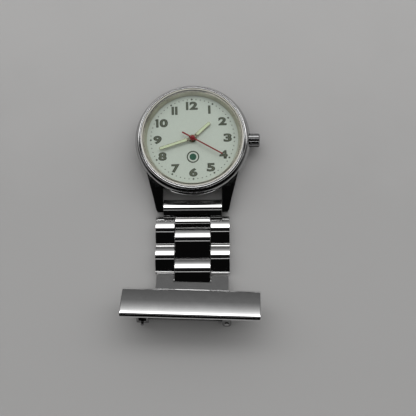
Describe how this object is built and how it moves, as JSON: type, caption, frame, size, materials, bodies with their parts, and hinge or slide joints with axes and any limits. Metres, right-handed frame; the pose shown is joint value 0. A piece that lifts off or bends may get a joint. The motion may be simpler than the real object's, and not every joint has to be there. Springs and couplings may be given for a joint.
{
  "type": "fob watch",
  "caption": "Analogue quartz fob watch on a short polished link bracelet that hangs from a brooch bar with a hinged needle and a turning safety catch.",
  "frame": {"origin": "on the axis of the hands, in the plane of the case back that the watch rests on", "axes": "+X towards 3 o'clock, +Y towards 12 o'clock, +Z out of the dial"},
  "size_m": [0.0373, 0.0672, 0.01],
  "materials": {
    "polished_steel": "mirror-polished plated steel",
    "satin_steel": "satin plated steel",
    "crystal_glass": "clear polished acrylic glass",
    "dial_enamel": "pale green-white matte paint with dark grey-green print",
    "lume_hand": "cream luminous paint on gilt",
    "red_hand": "glossy red paint",
    "brass": "fine-grained gilt brass",
    "steel": "turned steel",
    "nylon": "off-white moulded nylon",
    "rubber": "black nitrile",
    "gasket_nylon": "translucent white nylon",
    "board": "green solder mask",
    "epoxy": "black epoxy",
    "copper_wire": "enamelled copper winding on an iron core",
    "magnet": "dark sintered magnet and steel arbor",
    "rehaut": "polished dark champagne ring"
  },
  "bodies": {
    "case": {"case_body": "satin_steel", "bezel_ring": "polished_steel", "crystal": "crystal_glass", "crystal_gasket": "gasket_nylon", "rehaut_ring": "rehaut", "dial": "dial_enamel", "case_back": "satin_steel", "case_back_gasket": "rubber", "movement_ring": "nylon", "main_plate": "brass", "train_bridge": "brass", "battery": "steel", "battery_clamp": "brass", "coil": "copper_wire", "stator": "steel", "circuit_board": "board", "quartz_can": "steel", "chip": "epoxy", "movement_screws": "steel", "crown_tube": "steel"},
    "hour": {"hour_wheel": "brass", "hour_hand": "lume_hand"},
    "minute": {"centre_wheel": "brass", "minute_hand": "lume_hand"},
    "second": {"seconds_wheel": "brass", "second_hand": "red_hand"},
    "rotor": {"rotor": "magnet"},
    "intermediate": {"intermediate_wheel": "brass"},
    "third": {"third_wheel": "brass"},
    "minute_wheel": {"minute_wheel": "brass"},
    "clutch": {"clutch_wheel": "steel"},
    "setting_lever": {"setting_lever": "steel"},
    "crown": {"stem": "steel", "crown": "polished_steel", "crown_gasket": "rubber"},
    "spring_bar_tip_left": {"spring_bar_tip_left": "steel"},
    "spring_bar_tip_right": {"spring_bar_tip_right": "steel"},
    "end_link": {"end_link": "polished_steel", "centre_link_1": "polished_steel", "spring_bar_barrel": "steel"},
    "link_row_1": {"side_link_1_left": "polished_steel", "side_link_1_right": "polished_steel", "link_pin_1": "steel", "link_pin_2": "steel"},
    "link_row_2": {"centre_link_2": "polished_steel"},
    "link_row_3": {"side_link_2_left": "polished_steel", "side_link_2_right": "polished_steel", "link_pin_3": "steel", "link_pin_4": "steel"},
    "link_row_4": {"centre_link_3": "polished_steel"},
    "brooch_bar": {"hanger_plate": "polished_steel", "link_pin_5": "steel", "bar_cover": "polished_steel", "bar_back_plate": "satin_steel", "brooch_bracket": "satin_steel", "brooch_rivet": "steel", "catch_body": "satin_steel"},
    "brooch_needle": {"brooch_needle": "steel"},
    "catch_sleeve": {"catch_sleeve": "satin_steel"}
  },
  "joints": [
    {"name": "second_spin", "type": "hinge", "parent": "case", "child": "second", "pos_m": [0, 0, 0.003], "axis": [0, 0, -1], "continuous": true},
    {"name": "rotor_spin", "type": "hinge", "parent": "case", "child": "rotor", "pos_m": [-0.00332, -0.00457, 0.003], "axis": [0, 0, -1], "continuous": true},
    {"name": "intermediate_spin", "type": "hinge", "parent": "case", "child": "intermediate", "pos_m": [-0.00109, -0.00301, 0.003], "axis": [0, 0, -1], "continuous": true},
    {"name": "third_spin", "type": "hinge", "parent": "case", "child": "third", "pos_m": [-0.00053, 0.00301, 0.003], "axis": [0, 0, -1], "continuous": true},
    {"name": "minute_spin", "type": "hinge", "parent": "case", "child": "minute", "pos_m": [0, 0, 0.003], "axis": [0, 0, -1], "continuous": true},
    {"name": "minute_wheel_spin", "type": "hinge", "parent": "case", "child": "minute_wheel", "pos_m": [0.00056, 0.00315, 0.003], "axis": [0, 0, -1], "continuous": true},
    {"name": "hour_spin", "type": "hinge", "parent": "case", "child": "hour", "pos_m": [0, 0, 0.003], "axis": [0, 0, -1], "continuous": true},
    {"name": "crown_turn", "type": "hinge", "parent": "case", "child": "clutch", "pos_m": [0.0052, 0, 0.0032], "axis": [1, 0, 0], "continuous": true},
    {"name": "crown_pull", "type": "slide", "parent": "clutch", "child": "crown", "axis": [1, 0, 0], "range_m": [0, 0.001]},
    {"name": "setting_lever_swing", "type": "hinge", "parent": "case", "child": "setting_lever", "pos_m": [0.0086, 0.0026, 0.0024], "axis": [0, 0, 1], "range_deg": [0, 22.7]},
    {"name": "spring_bar_left", "type": "slide", "parent": "case", "child": "spring_bar_tip_left", "axis": [1, 0, 0], "range_m": [0, 0.0009], "stiffness_N_per_m": 100, "springref_m": -0.0005},
    {"name": "spring_bar_right", "type": "slide", "parent": "case", "child": "spring_bar_tip_right", "axis": [-1, 0, 0], "range_m": [0, 0.0009], "stiffness_N_per_m": 100, "springref_m": -0.0005},
    {"name": "end_link_hinge", "type": "hinge", "parent": "case", "child": "end_link", "pos_m": [0, -0.0182, 0.0019], "axis": [1, 0, 0], "range_deg": [-25, 35]},
    {"name": "link_hinge_1", "type": "hinge", "parent": "end_link", "child": "link_row_1", "pos_m": [0, -0.0229, 0.00135], "axis": [1, 0, 0], "range_deg": [-25, 35]},
    {"name": "link_hinge_2", "type": "hinge", "parent": "link_row_1", "child": "link_row_2", "pos_m": [0, -0.02693, 0.00135], "axis": [1, 0, 0], "range_deg": [-25, 35]},
    {"name": "link_hinge_3", "type": "hinge", "parent": "link_row_2", "child": "link_row_3", "pos_m": [0, -0.03096, 0.00135], "axis": [1, 0, 0], "range_deg": [-25, 35]},
    {"name": "link_hinge_4", "type": "hinge", "parent": "link_row_3", "child": "link_row_4", "pos_m": [0, -0.03499, 0.00135], "axis": [1, 0, 0], "range_deg": [-25, 35]},
    {"name": "bar_hinge", "type": "hinge", "parent": "link_row_4", "child": "brooch_bar", "pos_m": [0, -0.03902, 0.00135], "axis": [0.9995, -0.0332, 0], "range_deg": [-25, 35]},
    {"name": "needle_open", "type": "hinge", "parent": "brooch_bar", "child": "brooch_needle", "pos_m": [0.00916, -0.04954, 0.00174], "axis": [0.0293, 0.8825, -0.4695], "range_deg": [-70, 0]},
    {"name": "catch_turn", "type": "hinge", "parent": "brooch_bar", "child": "catch_sleeve", "pos_m": [-0.01313, -0.0488, 0.00174], "axis": [0.9995, -0.0332, 0], "range_deg": [0, 110]}
  ],
  "couplings": [
    {"joint": "intermediate_spin", "follows": "second_spin", "ratio": -4},
    {"joint": "rotor_spin", "follows": "second_spin", "ratio": 30},
    {"joint": "third_spin", "follows": "second_spin", "ratio": -0.13333},
    {"joint": "minute_spin", "follows": "second_spin", "ratio": 0.016667},
    {"joint": "minute_wheel_spin", "follows": "second_spin", "ratio": -0.0055556},
    {"joint": "hour_spin", "follows": "second_spin", "ratio": 0.0013889},
    {"joint": "setting_lever_swing", "follows": "crown_pull", "rad_per_m": 394.8}
  ]
}
